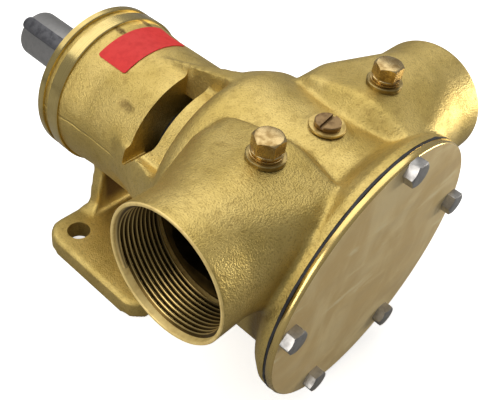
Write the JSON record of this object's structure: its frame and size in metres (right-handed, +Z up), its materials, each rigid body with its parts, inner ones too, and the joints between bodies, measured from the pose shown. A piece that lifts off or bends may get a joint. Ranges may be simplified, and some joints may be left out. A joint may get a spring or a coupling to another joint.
{
  "type": "flexible impeller pump",
  "caption": "Foot-mounted flexible impeller pump: cast body with two threaded ports, screwed end cover, bearing housing and keyed drive shaft.",
  "frame": {"origin": "middle of the four foot holes on the face that the pump stands on", "axes": "+Y along the shaft from the cover towards its drive end, +Z up from the foot, +X across the pump towards one port"},
  "size_m": [0.1882, 0.2567, 0.151],
  "materials": {
    "cast_brass": "sand cast, matt with a fine grain",
    "cover_brass": "faced and lightly mottled",
    "plug_brass": "browned, machined",
    "inner_brass": "machined",
    "stainless": "bright",
    "shaft_steel": "ground",
    "key_steel": "dark",
    "bearing_steel": "ground and polished",
    "gasket_paper": "matt black",
    "black_rubber": "matt",
    "seal_ceramic": "lapped",
    "seal_carbon": "lapped",
    "red_plate": "plain red film"
  },
  "bodies": {
    "pump_body": {"pump_housing": "cast_brass", "end_cover": "cover_brass", "cover_gasket": "gasket_paper", "cover_screws": "stainless", "port_plug_left": "plug_brass", "port_plug_right": "plug_brass", "port_plug_washers": "plug_brass", "cam": "inner_brass", "cam_screw": "plug_brass", "cam_screw_washer": "inner_brass", "wear_plate": "stainless", "wear_plate_pin": "stainless", "seal_seat": "seal_ceramic", "seal_seat_cup": "black_rubber", "front_bearing_outer_ring": "bearing_steel", "rear_bearing_outer_ring": "bearing_steel", "housing_circlip": "stainless", "rear_shaft_seal": "black_rubber", "red_label": "red_plate"},
    "rotor": {"shaft": "shaft_steel", "drive_key": "key_steel", "impeller_key": "key_steel", "impeller_insert": "inner_brass", "impeller": "black_rubber", "impeller_circlip": "stainless", "seal_face": "seal_carbon", "seal_bellows": "black_rubber", "seal_spring": "stainless", "seal_spring_cup": "stainless", "water_slinger": "black_rubber", "front_bearing_inner_ring": "bearing_steel", "rear_bearing_inner_ring": "bearing_steel", "bearing_spacer": "shaft_steel", "shaft_circlip": "stainless"},
    "front_cage": {"front_bearing_balls": "bearing_steel", "front_bearing_cage": "inner_brass"},
    "rear_cage": {"rear_bearing_balls": "bearing_steel", "rear_bearing_cage": "inner_brass"}
  },
  "joints": [
    {"name": "shaft_spin", "type": "hinge", "parent": "pump_body", "child": "rotor", "pos_m": [0, 0, 0.075], "axis": [0, 1, 0], "continuous": true, "deforming": ["impeller"]},
    {"name": "front_cage_spin", "type": "hinge", "parent": "pump_body", "child": "front_cage", "pos_m": [0, 0, 0.075], "axis": [0, 1, 0], "continuous": true},
    {"name": "rear_cage_spin", "type": "hinge", "parent": "pump_body", "child": "rear_cage", "pos_m": [0, 0, 0.075], "axis": [0, 1, 0], "continuous": true}
  ],
  "couplings": [
    {"joint": "front_cage_spin", "follows": "shaft_spin", "ratio": 0.3967},
    {"joint": "rear_cage_spin", "follows": "shaft_spin", "ratio": 0.3967}
  ]
}
